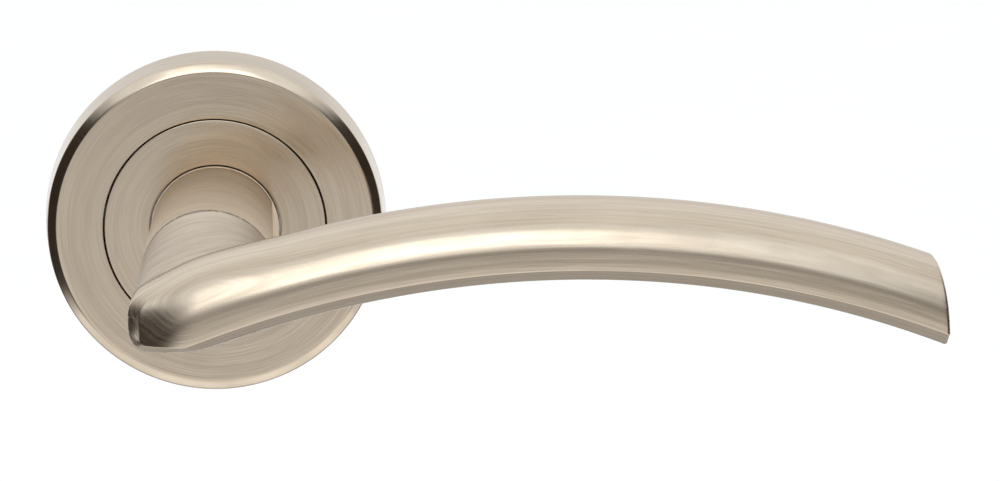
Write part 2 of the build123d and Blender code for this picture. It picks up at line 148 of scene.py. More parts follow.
def startMaterial(name):
    mat = bpy.data.materials.new(name)
    mat.use_nodes = True
    tree = mat.node_tree
    shader = tree.nodes["Principled BSDF"]
    return mat, shader, Wire(tree, None).make("ShaderNodeTexCoord", out="Object")


def finishMaterial(place, shader, colour, rough, height, bumpStrength, bumpDepth):
    place.feed(colour, shader.inputs["Base Color"])
    place.feed(rough, shader.inputs["Roughness"])
    inputs = {"Strength": bumpStrength, "Distance": bumpDepth, "Height": height}
    bump = place.make("ShaderNodeBump", {}, inputs)
    place.feed(bump, shader.inputs["Normal"])


# Satin nickel, brushed in circles round the local Z axis of the piece

brush = {
    "pale": (0.65, 0.555, 0.44),
    "deep": (0.50, 0.415, 0.32),
    "speck": (0.16, 0.12, 0.09),
    "roughLow": 0.20,
    "roughHigh": 0.31,
    "anisotropy": 0.72,
    "lineScale": 5200.0,
    "bandScale": 900.0,
    "depthShare": 1.37,
    "runScale": 26.0,
    "jointLine": (0.00016, 0.00055),
    "bumpStrength": 0.22,
    "bumpDepth": 0.00002,
}


def brushedNickel(name, jointDepth=None, reach=brush["runScale"], softer=0.0, paintedLightScale=1.0):
    mat, shader, place = startMaterial(name)
    lineScale = brush["lineScale"]
    # This scale brightens or darkens the base colour of this copy of satin nickel: painted light, a lit or
    # shaded copy of one material
    pale = tuple(level * paintedLightScale for level in brush["pale"])
    deep = tuple(level * paintedLightScale for level in brush["deep"])
    x, y, z = place.split()
    radius = (x * x + y * y).maths("SQRT")
    # Lines run round the axis: quick change across them, slow change along them, and no seam
    across = radius + z * brush["depthShare"]
    fine = place.join(across * lineScale, x * reach * 4, y * reach * 4).noise(1.0, 3.0, 0.6)
    band = place.join(across * brush["bandScale"], x * reach, y * reach).noise(1.0, 2.0, 0.5)
    cloud = place.noise(95.0, 3.0, 0.55)
    scratch = place.join(across * lineScale * 0.5, x * reach * 9, y * reach * 9).noise(1.0, 0.0, 0.5)
    deepLine = scratch.step(0.66, 0.80)
    tone = (fine * 0.55 + band * 0.35 + cloud * 0.10).step(0.30, 0.70)
    colour = tone.blend(deep, pale)
    colour = (deepLine * 0.35).blend(colour, deep)
    rough = tone.step(0.0, 1.0, brush["roughHigh"] + softer, brush["roughLow"] + softer)
    rough = rough + cloud.step(0.45, 0.75) * 0.05
    height = fine * 0.6 + band * 0.3 - deepLine * 0.5
    if jointDepth is not None:
        ragged = place.noise(1900.0, 2.0, 0.7)
        near = (z - jointDepth).maths("ABSOLUTE").step(*brush["jointLine"], 1.0, 0.0)
        specks = near * ragged.step(0.36, 0.52)
        colour = (specks * 0.85).blend(colour, brush["speck"])
        height = height - specks
    shader.inputs["Metallic"].default_value = 1.0
    shader.inputs["Anisotropic"].default_value = brush["anisotropy"]
    finishMaterial(place, shader, colour, rough, height, brush["bumpStrength"], brush["bumpDepth"])
    return mat


# Plainer finishes: grain is marks to the metre, drawn out along the way the piece was drawn or rolled

def plainFinish(name, pale, deep, rough, grain, stretch=(1, 1, 1), bump=0.3, metallic=1.0, pits=0.0):
    mat, shader, place = startMaterial(name)
    streak = (place * stretch).noise(grain, 4.0, 0.6)
    cloud = place.noise(140.0, 4.0, 0.6)
    spot = place.noise(grain * 0.7, 1.0, 0.5).step(0.66, 0.76)
    tone = (streak * 0.6 + cloud * 0.4).step(0.32, 0.68)
    colour = tone.blend(deep, pale)
    colour = (spot * pits).blend(colour, deep)
    sheen = tone.step(0.0, 1.0, rough[1], rough[0]) + spot * 0.1
    height = streak + cloud * 0.4 - spot * pits
    shader.inputs["Metallic"].default_value = metallic
    finishMaterial(place, shader, colour, sheen, height, bump, 0.00005)
    return mat


# Camera

camera = {
    "focal": 95.07,
    "sensor": 36.0,
    "place": (0.0119336, -0.400, 0.0795334),
    "pitch": 11.778,
    "yaw": 4.534,
    "near": 0.01,
}
eye = bpy.data.cameras.new("viewCamera")
eye.sensor_width = camera["sensor"]
eye.lens = camera["focal"]
eye.clip_start = camera["near"]
eyeObject = bpy.data.objects.new("viewCamera", eye)
eyeObject.location = camera["place"]
eyeObject.rotation_euler = (math.pi / 2 - math.radians(camera["pitch"]), 0, -math.radians(camera["yaw"]))
scene.collection.objects.link(eyeObject)
scene.camera = eyeObject
scene.view_settings.view_transform = "Standard"
print("camera placed")


# Studio: a graded surround for the metal to reflect, one soft light in front and above, and a pale floor

studio = {
    # Turn from straight ahead of the handle, up over it to behind: degrees and brightness
    "bands": [
        (-180, 1.00), (-150, 1.00), (-138, 0.50), (-100, 0.54), (-88, 1.30), (-55, 1.25),
        (-30, 1.00), (-16, 0.86), (-8, 0.64), (2, 0.76), (12, 0.64), (22, 0.38), (26, 0.42),
        (31, 1.22), (61, 1.30), (65, 1.12), (70, 1.30), (90, 1.05), (108, 1.06), (126, 1.20), (142, 1.14),
        (158, 0.88), (180, 0.92),
    ],
    "brightest": 1.4,
    "softTint": (0.94, 1.0, 1.06),
    "coolOver": 0.3,
    # Dark cards at both sides, behind the handle, and where they fade in
    "sideCard": (0.03, 0.024, 0.019),
    "sideFade": (0.42, 0.62),
    "levelFade": (0.50, 0.68),
    "behindFade": (0.35, 0.70),
    "plain": (0.69, 0.697, 0.705),
    "lightPlace": (-0.05, -0.55, 0.62),
    "lightAim": (0.03, 0, 0),
    "lightSize": 0.5,
    "lightPower": 1.2,
}
world = bpy.data.worlds.new("studio")
scene.world = world
world.use_nodes = True
sky = world.node_tree


def bandStops():
    # Bright bands overhead are a little cooler than the rest
    stops = []
    for degrees, level in studio["bands"]:
        shade = level / studio["brightest"]
        cool = max(min((level - 1.0) / studio["coolOver"], 1), 0) if degrees > 0 else 0
        stops.append((degrees / 360 + 0.5, [shade * (1 + (tint - 1) * cool) for tint in studio["softTint"]]))
    return stops


look = Wire(sky, None).make("ShaderNodeTexCoord", out="Generated")
lookX, lookY, lookZ = look.split()
tilt = lookZ.maths("ARCTAN2", 0.0 - lookY) / (2 * math.pi) + 0.5
bands = look.make("ShaderNodeValToRGB", {"stops": bandStops()}, {0: tilt})
sideways = lookX.maths("ABSOLUTE").step(*studio["sideFade"])
level = lookZ.maths("ABSOLUTE").step(*studio["levelFade"], 1.0, 0.0)
side = lookY.step(*studio["behindFade"], 1.0, 0.0)
surround = (sideways * level * side).blend(bands, studio["sideCard"])
# Seen straight on, the surround is as plain and pale as the floor
sight = look.make("ShaderNodeLightPath", out="Is Camera Ray")
surround = sight.blend(surround, studio["plain"])
background = sky.nodes["Background"]
look.feed(surround, background.inputs[0])
background.inputs[1].default_value = studio["brightest"]

lamp = bpy.data.lights.new("softLight", "AREA")
lamp.energy = studio["lightPower"]
lamp.size = studio["lightSize"]
lampObject = bpy.data.objects.new("softLight", lamp)
lampObject.location = studio["lightPlace"]
aim = Vector(studio["lightAim"]) - Vector(studio["lightPlace"])
lampObject.rotation_euler = aim.to_track_quat("-Z", "Y").to_euler()
scene.collection.objects.link(lampObject)


floorSize = {
    "drop": 0.35,
    "reach": 6.0,
    "front": 0.45,
    "back": 12.45,
    "divisions": 40,
    "glow": (1.0, 0.96, 0.91, 1),
    "glowStrength": 0.14,
}


def makeFloor():
    divisions = floorSize["divisions"]
    across = np.linspace(-floorSize["reach"], floorSize["reach"], divisions)
    deep = np.linspace(floorSize["front"], floorSize["back"], divisions)
    verts = [(x, y, -floorSize["drop"]) for y in deep for x in across]
    faces = []
    for row in range(divisions - 1):
        for col in range(divisions - 1):
            a = row * divisions + col
            faces.append((a, a + 1, a + divisions + 1, a + divisions))
    mesh = bpy.data.meshes.new("floor")
    mesh.from_pydata(verts, [], faces)
    floor = bpy.data.objects.new("floor", mesh)
    scene.collection.objects.link(floor)
    mat, shader, place = startMaterial("paleFloor")
    cloud = place.noise(3.0, 3.0, 0.5)
    colour = cloud.blend((0.93, 0.93, 0.93), (0.97, 0.97, 0.97))
    finishMaterial(place, shader, colour, cloud * 0.1 + 0.7, cloud, 0.05, 0.001)
    shader.inputs["Emission Color"].default_value = floorSize["glow"]
    shader.inputs["Emission Strength"].default_value = floorSize["glowStrength"]
    mesh.materials.append(mat)


makeFloor()
print("studio ready")


# Mesh helpers. A piece is made with its local Z along the spindle, towards the room.

meshing = {
    "weld": 0.000002,
    "shortest": 0.0000015,
    "sharpAngle": 34,
}


def cleanMesh(mesh, turnOut):
    build = bmesh.new()
    build.from_mesh(mesh)
    bmesh.ops.remove_doubles(build, verts=build.verts, dist=meshing["weld"])
    bmesh.ops.dissolve_degenerate(build, dist=meshing["shortest"], edges=build.edges)
    if turnOut:
        bmesh.ops.recalc_face_normals(build, faces=build.faces)
    build.to_mesh(mesh)
    build.free()
    mesh.shade_smooth()
    mesh.set_sharp_from_angle(angle=math.radians(meshing["sharpAngle"]))


def evenNormals(piece):
    piece.modifiers.clear()
    smooth = piece.modifiers.new("evenNormals", "WEIGHTED_NORMAL")
    smooth.keep_sharp = True


def makePiece(name, verts, faces, material, body, origin=(0, 0, 0)):
    mesh = bpy.data.meshes.new(name)
    mesh.from_pydata([tuple(v) for v in verts], [], [tuple(f) for f in faces])
    cleanMesh(mesh, turnOut=True)
    piece = bpy.data.objects.new(name, mesh)
    piece.location = origin
    piece.rotation_euler = (math.pi / 2, 0, 0)
    scene.collection.objects.link(piece)
    mesh.materials.append(material)
    evenNormals(piece)
    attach(piece, body)
    return piece


def centreBrush(piece, reach, depth=0):
    # The brushed sheen runs round the middle of the texture space
    mesh = piece.data
    mesh.use_auto_texspace = False
    mesh.texspace_location = (0, 0, depth * mm)
    mesh.texspace_size = (reach * mm, reach * mm, reach * mm)


def softLine(corners, spacing, closed=True, steps=5):
    # Corners are rows of numbers whose last item is how far the rounding reaches
    rows = [np.array(c, float) for c in corners]
    count = len(rows)
    out = []
    for index in range(count):
        here = rows[index]
        before = rows[index - 1]
        after = rows[(index + 1) % count]
        reach = here[-1]
        if reach > 0 and (closed or 0 < index < count - 1):
            start = here + (before - here) * reach / np.linalg.norm((before - here)[:2])
            stop = here + (after - here) * reach / np.linalg.norm((after - here)[:2])
            for k in range(steps + 1):
                t = k / steps
                out.append(start * (1 - t) ** 2 + here * 2 * t * (1 - t) + stop * t * t)
        else:
            out.append(here)
    filled = []
    for index, row in enumerate(out):
        filled.append(row[:-1])
        if not closed and index == len(out) - 1:
            break
        after = out[(index + 1) % len(out)]
        gap = np.linalg.norm((after - row)[:2])
        pieces = int(gap / spacing)
        for k in range(1, pieces + 1):
            filled.append((row + (after - row) * k / (pieces + 1))[:-1])
    return np.array(filled)


def loopFaces(rings, around, closeRings=False):
    faces = []
    for ring in range(rings if closeRings else rings - 1):
        here = ring * around
        ahead = (ring + 1) % rings * around
        for k in range(around):
            after = (k + 1) % around
            faces.append((here + k, here + after, ahead + after, ahead + k))
    return faces


def closedFaces(rings, around):
    # Rings closed at both ends on two hubs, which are the last two corners
    faces = loopFaces(rings, around)
    hub = rings * around
    last = hub - around
    for k in range(around):
        after = (k + 1) % around
        faces.append((hub, after, k))
        faces.append((hub + 1, last + k, last + after))
    return faces


def lathe(profile, segments, flatX=None, flatFrom=None):
    turn = np.linspace(0, 2 * math.pi, segments, endpoint=False)
    verts = []
    for radius, depth in profile:
        ring = np.stack([radius * np.cos(turn), radius * np.sin(turn), np.full(segments, depth)], 1)
        if flatX is not None and depth > flatFrom:
            ring[:, 0] = np.minimum(ring[:, 0], flatX)
        verts.append(ring)
    return np.concatenate(verts) * mm, loopFaces(len(profile), segments, closeRings=True)


def boxSize(node):
    low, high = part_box(node)
    return low / mm, high / mm


nickelRound = brushedNickel("satinNickelRound", softer=-0.08)
print("helpers ready")


# Cover ring

coverLow, coverHigh = boxSize("cover_ring")
cover = {
    "radius": coverHigh.x,
    "depth": -coverLow.y,
    "taper": 0.8,
    "bevelWidth": 1.35,
    "bevelDepth": 1.0,
    "bevelRound": 0.35,
    "shoulderRound": 0.3,
    "opening": 16.8,
    "wall": 1.5,
    "front": 1.2,
    "plate": 2.8,
    "openingRound": 0.12,
    "backRound": 0.15,
    "innerRound": 0.1,
    "spacing": 0.45,
    "segments": 320,
}
shoulder = cover["radius"] - cover["taper"]
coverProfile = softLine(
    [
        (cover["opening"], cover["depth"], cover["openingRound"]),
        (shoulder - cover["bevelWidth"], cover["depth"], cover["bevelRound"]),
        (shoulder, cover["depth"] - cover["bevelDepth"], cover["shoulderRound"]),
        (cover["radius"], 0, cover["backRound"]),
        (cover["radius"] - cover["wall"], 0, cover["innerRound"]),
        (cover["radius"] - cover["wall"], cover["plate"], cover["innerRound"]),
        (shoulder - cover["wall"], cover["depth"] - cover["front"], cover["innerRound"]),
        (cover["opening"], cover["depth"] - cover["front"], cover["innerRound"]),
    ],
    cover["spacing"],
)
coverVerts, coverFaces = lathe(coverProfile, cover["segments"])
coverPiece = makePiece("coverRing", coverVerts, coverFaces, nickelRound, "cover")
centreBrush(coverPiece, cover["radius"])
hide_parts("cover_ring")
print("cover ring made")


# Inner disc

disc = {
    "hole": 9.85,
    "radius": 16.6,
    "front": 1.2,
    "housingOuter": 15.2,
    "housingInner": 13.75,
    "edge": 0.16,
    "round": 0.08,
    "spacing": 0.35,
    "segments": 288,
}
discLow, discHigh = boxSize("inner_disc")
discFront = -discLow.y
discBack = discFront - disc["front"]
discPlate = -discHigh.y
discProfile = softLine(
    [
        (disc["hole"], discFront, disc["round"]),
        (disc["radius"], discFront, disc["edge"]),
        (disc["radius"], discBack, disc["round"]),
        (disc["housingOuter"], discBack, disc["round"]),
        (disc["housingOuter"], discPlate, disc["round"]),
        (disc["housingInner"], discPlate, disc["round"]),
        (disc["housingInner"], discBack, disc["round"]),
        (disc["hole"], discBack, disc["round"]),
    ],
    disc["spacing"],
)
discVerts, discFaces = lathe(discProfile, disc["segments"])
discPiece = makePiece("innerDisc", discVerts, discFaces, nickelRound, "rose")
centreBrush(discPiece, disc["radius"])
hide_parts("inner_disc")
print("inner disc made")


# Neck sleeve

neckLow, neckHigh = boxSize("neck_sleeve")
neck = {
    "radius": 9.6,
    "edge": 0.12,
    "collar": 0.12,
    "flat": 8.6,
    "spigot": 7.0,
    "camFront": 6.2,
    "spigotEnd": -neckHigh.y,
    "joint": -neckLow.y,
    "socket": 5.75,
    "step": 6.55,
    "stepLength": 3.05,
    "round": 0.05,
    "waistRound": 0.04,
    "backRound": 0.1,
    "jointRound": 0.09,
    "flatGap": 0.03,
    "spacing": 0.3,
    "segments": 256,
    "reach": 60.0,
    "softer": 0.34,
    # Painted light: the sleeve's nickel is a brighter copy, its base colour scaled up to stand in for light
    # the sleeve catches from above
    "paintedLightScale": 1.45,
}
neckWaist = neck["radius"] - neck["edge"]
collarTop = discFront + neck["collar"]
stepDepth = neck["joint"] - neck["stepLength"]
neckProfile = softLine(
    [
        (neck["socket"], neck["spigotEnd"], neck["backRound"]),
        (neck["spigot"], neck["spigotEnd"], neck["backRound"]),
        (neck["spigot"], neck["camFront"], neck["round"]),
        (neck["radius"], neck["camFront"], neck["round"]),
        (neck["radius"], collarTop, neck["round"]),
        (neckWaist, collarTop, neck["waistRound"]),
        (neckWaist, neck["joint"], neck["jointRound"]),
        (neck["step"], neck["joint"], neck["round"]),
        (neck["step"], stepDepth, neck["round"]),
        (neck["socket"], stepDepth, neck["round"]),
    ],
    neck["spacing"],
)
neckVerts, neckFaces = lathe(neckProfile, neck["segments"], neck["flat"], collarTop + neck["flatGap"])
jointPlace = neck["joint"] * mm
nickelNeck = brushedNickel("satinNickelNeck", jointPlace, neck["reach"], neck["softer"], neck["paintedLightScale"])
neckPiece = makePiece("neckSleeve", neckVerts, neckFaces, nickelNeck, "lever")
centreBrush(neckPiece, neck["radius"])
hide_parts("neck_sleeve")
print("neck sleeve made")


# Lever arm: section swept round the arch centre, wrapped at the nose and cut at the tip

armLow = boxSize("lever_arm")[0]
arm = {
    "centreX": 47.5,
    "centreZ": -132.0,
    "brow": 146.0,
    "browDepth": 58.0,
    "bulge": 9.0,
    "height": 7.3,
    "turn": 98.0,
    "frontSteps": 96,
    "keelSetback": 2.0,
    "keelDrop": 1.7,
    "heel": (59.5, 135.5),
    "back": (54.8, 140.5),
    "backSteps": 40,
    # Roundings of the section's corners
    "creaseRound": 0.07,
    "keelRound": 0.45,
    "heelRound": 0.4,
    "browRound": 0.16,
    "spacing": 0.22,
    # Outline of the nose, seen from the room
    "nose": armLow.x,
    "floor": -4.7,
    "lowerRound": 2.3,
    "upperRound": 4.2,
    "floorRound": 14.0,
    "floorTighten": 1.7,
    "keelInset": 10.0,
    "noseBrowZ": 2.2,
    "browSlope": 23.2,
    "cornerSteps": 32,
    "noseEdge": 0.30,
    # The brow swells a little before the nose
    "lift": 0.65,
    "liftFrom": 16.0,
    "liftSkew": 1.5,
    "liftRadius": 140.0,
    "liftOver": 5.0,
    # Sloping strip round the nose's rim, growing from the brow down: degrees over the edge, share of slope
    "stripWidth": 1.4,
    "stripDepth": 0.9,
    "wrapFrom": 0.10,
    "wrapOver": 0.34,
    "wrapPath": [
        (90, 1), (78, 1), (66, 1), (60, 1), (55, 0.84), (50, 0.67), (45, 0.5),
        (40, 0.33), (35, 0.16), (30, 0), (24, 0), (12, 0), (0, 0),
    ],
    # The front leans back at the nose
    "droop": 3.3,
    "droopFrom": -0.5,
    "fallFrom": 0.26,
    "fallSlant": 0.12,
    "fallOver": 0.55,
    "pastKeel": 1.1,
    # Tip: a leaning cut with a rounded edge and a slightly domed face
    "tip": 98.2,
    "tipLean": 3.5,
    "tipEdge": 0.50,
    "tipSag": 0.35,
    "tipPath": (0, 12, 24, 36, 48, 60, 75, 90),
    # Where to look for each end, from inside the arm outwards
    "noseSearch": (8.0, -16.0),
    "tipSearch": (80.0, 108.0),
    "halvings": 44,
    "stations": 300,
    "stationSpread": 0.45,
    "capRings": 16,
    "brushReach": 16.0,
    "brushSize": 150.0,
}


def ease(share):
    share = np.clip(share, 0, 1)
    return share * share * (3 - 2 * share)


def circleThrough(a, b, c):
    (ax, ay), (bx, by), (cx, cy) = a, b, c
    spread = 2 * (ax * (by - cy) + bx * (cy - ay) + cx * (ay - by))
    farA, farB, farC = ax**2 + ay**2, bx**2 + by**2, cx**2 + cy**2
    x = (farA * (by - cy) + farB * (cy - ay) + farC * (ay - by)) / spread
    y = (farA * (cx - bx) + farB * (ax - cx) + farC * (bx - ax)) / spread
    return x, y, math.hypot(ax - x, ay - y)


def armLoop():
    # Rows of depth, radius, wrap weight and share of the way down the front
    rows = []
    for k in range(arm["frontSteps"] + 1):
        share = k / arm["frontSteps"]
        a = math.radians(arm["turn"]) * share
        depth = arm["browDepth"] + arm["bulge"] * math.sin(a)
        radius = arm["brow"] - arm["height"] + arm["height"] * math.cos(a)
        rows.append((depth, radius, ease((share - arm["wrapFrom"]) / arm["wrapOver"]), share))
    brow, crease = rows[0], rows[-1]
    corners = [(*row, 0.0) for row in rows[2:-1]]
    corners.append((*crease, arm["creaseRound"]))
    keel = (crease[0] - arm["keelSetback"], crease[1] - arm["keelDrop"])
    corners.append((*keel, 0.0, arm["pastKeel"], arm["keelRound"]))
    corners.append((*arm["heel"], 0.0, 0.0, arm["heelRound"]))
    # Back: an arc from the heel to the brow
    x, y, size = circleThrough(arm["heel"], arm["back"], brow[:2])
    first = math.atan2(arm["heel"][1] - y, arm["heel"][0] - x) % (2 * math.pi)
    last = math.atan2(brow[1] - y, brow[0] - x) % (2 * math.pi)
    for k in range(1, arm["backSteps"]):
        a = first + (last - first) * k / arm["backSteps"]
        corners.append((x + size * math.cos(a), y + size * math.sin(a), 0.0, 0.0, 0.0))
    corners.append((*brow, arm["browRound"]))
    return softLine(corners, arm["spacing"])


def noseSides():
    # Half planes: a point, the way in, and how much more the inset counts there
    left, floorZ, tighten = arm["nose"], arm["floor"], arm["floorTighten"]
    sides = [((0, floorZ), (0, 1), tighten), ((left, 0), (1, 0), 1.0)]
    steps = arm["cornerSteps"]
    reach = arm["lowerRound"]
    for k in range(steps + 1):
        a = math.radians(180 + 90 * k / steps)
        way = (math.cos(a), math.sin(a))
        point = (left + reach + reach * way[0], floorZ + reach + reach * way[1])
        sides.append((point, (-way[0], -way[1]), 1.0 + (tighten - 1.0) * k / steps))
    # The floor bends up into the keel
    keelRadius = arm["brow"] - arm["keelInset"]
    run = math.sqrt(keelRadius**2 - (floorZ - arm["centreZ"]) ** 2)
    keelSlope = math.asin(run / keelRadius)
    reach = arm["floorRound"]
    bendX = arm["centreX"] - run - reach * math.tan(keelSlope / 2)
    for k in range(1, steps):
        a = keelSlope * k / steps
        point = (bendX + reach * math.sin(a), floorZ + reach * (1 - math.cos(a)))
        sides.append((point, (-math.sin(a), math.cos(a)), tighten))
    # The upper corner, up to the brow
    reach = arm["upperRound"]
    slope = math.radians(arm["browSlope"])
    rise = arm["noseBrowZ"] + reach * math.tan(slope) - reach / math.cos(slope)
    for k in range(steps + 1):
        a = math.radians(180) - (math.radians(90) - slope) * k / steps
        way = (math.cos(a), math.sin(a))
        point = (left + reach + reach * way[0], rise + reach * way[1])
        sides.append((point, (-way[0], -way[1]), 1.0))
    return sides


def tipSides():
    lean = math.radians(arm["tipLean"])
    return [((arm["tip"], 0), (-math.cos(lean), -math.sin(lean)), 1.0)]


def turnWhere(radius, inset, sides, insideX, outsideX):
    # The turn at which each radius comes within its inset of the outline
    points = np.array([side[0] for side in sides]) - np.array([arm["centreX"], arm["centreZ"]])
    ways = np.array([side[1] for side in sides])
    counts = np.array([side[2] for side in sides])
    inner = np.arcsin((insideX - arm["centreX"]) / radius)
    outer = np.arcsin((outsideX - arm["centreX"]) / radius)
    for _ in range(arm["halvings"]):
        middle = (inner + outer) / 2
        spot = np.stack([radius * np.sin(middle), radius * np.cos(middle)], 1)
        gap = (((spot[:, None, :] - points[None]) * ways[None]).sum(2) * counts).min(1)
        inside = gap > inset
        inner = np.where(inside, middle, inner)
        outer = np.where(inside, outer, middle)
    return (inner + outer) / 2


def armPoint(depth, radius, turn):
    x = arm["centreX"] + radius * np.sin(turn)
    near = np.clip((arm["liftFrom"] - x) / (arm["liftFrom"] - arm["nose"]), 0, 1)
    swell = np.sin(np.pi * near ** arm["liftSkew"]) ** 2
    lifted = radius + arm["lift"] * swell * ease((radius - arm["liftRadius"]) / arm["liftOver"])
    return np.stack([lifted * np.sin(turn), lifted * np.cos(turn), depth], 1)


def droopBy(turn, radius, share):
    # The front leans back towards the nose, from lower down the nearer the nose
    x = arm["centreX"] + radius * np.sin(turn)
    past = np.clip((arm["droopFrom"] - x) / (arm["droopFrom"] - arm["nose"]), 0, 1.2)
    start = arm["fallFrom"] - arm["fallSlant"] * (1 - past)
    return arm["droop"] * past**2 * ease((share - start) / arm["fallOver"])


def armBlade():
    loop = armLoop()
    depth, radius, wrap, front = loop.T
    ahead = np.roll(loop[:, :2], -1, 0) - np.roll(loop[:, :2], 1, 0)
    ahead /= np.linalg.norm(ahead, axis=1)[:, None]
    inward = np.stack([-ahead[:, 1], ahead[:, 0]], 1)
    centre = loop[:, :2].mean(0)
    if ((centre - loop[:, :2]) * inward).sum() < 0:
        inward = -inward
    noseArgs = (noseSides(), *arm["noseSearch"])
    tipArgs = (tipSides(), *arm["tipSearch"])
    rings = []
    # Nose cap, from its centre out
    edge = arm["noseEdge"]
    rimDepth = depth - arm["stripDepth"] * wrap + inward[:, 0] * edge
    rimRadius = radius + inward[:, 1] * edge
    rimDepth = rimDepth - droopBy(turnWhere(rimRadius, 0, *noseArgs), rimRadius, front)
    noseCentre = np.array([rimDepth.mean(), rimRadius.mean()])
    for k in range(1, arm["capRings"]):
        share = k / arm["capRings"]
        d = noseCentre[0] + (rimDepth - noseCentre[0]) * share
        r = noseCentre[1] + (rimRadius - noseCentre[1]) * share
        rings.append(armPoint(d, r, turnWhere(r, 0, *noseArgs)))
    # Edge and wrapped strip, from the rim to the body
    for degrees, strip in arm["wrapPath"]:
        a = math.radians(degrees)
        inset = arm["stripWidth"] * wrap * (1 - strip) + edge * (1 - math.sin(a))
        sink = edge * (1 - math.cos(a))
        d = depth - arm["stripDepth"] * wrap * strip + inward[:, 0] * sink
        r = radius + inward[:, 1] * sink
        turn = turnWhere(r, inset, *noseArgs)
        rings.append(armPoint(d - droopBy(turn, r, front), r, turn))
    startTurn = turn
    # Body, with its stations closest together at the nose
    edge = arm["tipEdge"]
    sag = arm["tipSag"]
    endTurn = turnWhere(radius, edge + sag, *tipArgs)
    for k in range(1, arm["stations"]):
        share = k / arm["stations"]
        share = share * (1 - arm["stationSpread"] + arm["stationSpread"] * share)
        turn = startTurn * (1 - share) + endTurn * share
        rings.append(armPoint(depth - droopBy(turn, radius, front), radius, turn))
    # Rounded edge and slightly domed cap of the tip
    for degrees in arm["tipPath"]:
        a = math.radians(degrees)
        sink = edge * (1 - math.cos(a))
        r = radius + inward[:, 1] * sink
        turn = turnWhere(r, edge * (1 - math.sin(a)) + sag, *tipArgs)
        rings.append(armPoint(depth + inward[:, 0] * sink, r, turn))
    rimDepth = depth + inward[:, 0] * edge
    rimRadius = radius + inward[:, 1] * edge
    tipCentre = np.array([rimDepth.mean(), rimRadius.mean()])
    for k in range(arm["capRings"] - 1, 0, -1):
        share = k / arm["capRings"]
        d = tipCentre[0] + (rimDepth - tipCentre[0]) * share
        r = tipCentre[1] + (rimRadius - tipCentre[1]) * share
        rings.append(armPoint(d, r, turnWhere(r, sag * share**2, *tipArgs)))
    hubs = []
    for middle, ends in ((noseCentre, noseArgs), (tipCentre, tipArgs)):
        r = middle[1:]
        hubs.append(armPoint(middle[:1], r, turnWhere(r, 0, *ends)))
    verts = np.concatenate([*rings, *hubs])
    return verts * mm, closedFaces(len(rings), len(loop))


# Short rear neck of the arm: round where it meets the sleeve, an oval leaning with the arm where it meets it

rearNeck = {
    "endDepth": 60.0,
    "halfWidth": 10.2,
    "underBrow": 0.15,
    "studRadius": 4.05,
    "studHole": 7.0,
    "spigotRadius": 6.5,
    "spigotLength": 3.0,
    # Radius and depth past the joint, out to the sleeve's own edge
    "edge": [(6.5, 0), (9.0, 0), (9.39, 0), (9.46, 0.03), (9.48, 0.10)],
    "steps": 60,
    "segments": 200,
    "softer": 0.16,
    # Painted shade: the arm's neck is a slightly darker copy of the satin nickel, its base colour scaled
    # down
    "paintedLightScale": 0.95,
}


def armNeck():
    joint = neck["joint"]
    slope = math.asin(arm["centreX"] / arm["brow"])
    topZ = arm["centreZ"] + math.sqrt(arm["brow"] ** 2 - arm["centreX"] ** 2)
    middleZ = (topZ + arm["floor"]) / 2
    halfHeight = (topZ - arm["floor"]) / 2 * math.cos(slope) - rearNeck["underBrow"]
    turn = np.linspace(0, 2 * math.pi, rearNeck["segments"], endpoint=False)
    ovalX = rearNeck["halfWidth"] * np.cos(turn)
    ovalZ = halfHeight * np.sin(turn)
    endX = ovalX * math.cos(slope) - ovalZ * math.sin(slope)
    endZ = middleZ + ovalX * math.sin(slope) + ovalZ * math.cos(slope)
    stubs = [
        (rearNeck["studRadius"], rearNeck["studHole"]),
        (rearNeck["studRadius"], -rearNeck["spigotLength"]),
        (rearNeck["spigotRadius"], -rearNeck["spigotLength"]),
        *rearNeck["edge"],
    ]
    rings = []
    for radius, past in stubs:
        rings.append(np.stack([radius * np.cos(turn), radius * np.sin(turn), joint + past + 0 * turn], 1))
    start = joint + stubs[-1][1]
    for k in range(1, rearNeck["steps"] + 1):
        share = k / rearNeck["steps"]
        x = neckWaist * np.cos(turn) * (1 - share) + endX * share
        z = neckWaist * np.sin(turn) * (1 - share) + endZ * share
        rings.append(np.stack([x, z, start + (rearNeck["endDepth"] - start) * share + 0 * turn], 1))
    for ring in rings:
        ring[:, 0] = np.minimum(ring[:, 0], neck["flat"])
    hubs = [[[0, 0, joint + rearNeck["studHole"]]], [[0, middleZ, rearNeck["endDepth"]]]]
    return np.concatenate([*rings, *hubs]) * mm, closedFaces(len(rings), len(turn))


def cutAway(piece, cutter):
    # The piece less the cutter, as a plain mesh
    trim = piece.modifiers.new("trim", "BOOLEAN")
    trim.operation = "DIFFERENCE"
    trim.solver = "EXACT"
    trim.object = cutter
    bpy.context.view_layer.update()
    graph = bpy.context.evaluated_depsgraph_get()
    piece.data = bpy.data.meshes.new_from_object(piece.evaluated_get(graph))
    cleanMesh(piece.data, turnOut=False)
    evenNormals(piece)


nickelArm = brushedNickel("satinNickelArm", reach=arm["brushReach"])
armOrigin = Vector((arm["centreX"], 0, arm["centreZ"])) * mm
bladeVerts, bladeFaces = armBlade()
armPiece = makePiece("leverArm", bladeVerts, bladeFaces, nickelArm, "lever", armOrigin)
nickelStub = brushedNickel(
    "satinNickelStub", jointPlace, neck["reach"], rearNeck["softer"], rearNeck["paintedLightScale"]
)
stubVerts, stubFaces = armNeck()
stubPiece = makePiece("leverNeck", stubVerts, stubFaces, nickelStub, "lever")
stubPiece.modifiers.clear()
armPiece.modifiers.clear()
cutAway(stubPiece, armPiece)
evenNormals(armPiece)
centreBrush(stubPiece, neck["radius"])
centreBrush(armPiece, arm["brushSize"], arm["browDepth"])
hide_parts("lever_arm")
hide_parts("lever_arm")
print("lever arm made", len(armPiece.data.polygons))


# Wood screws: countersunk heads with a cross recess, and a coarse thread down to the point

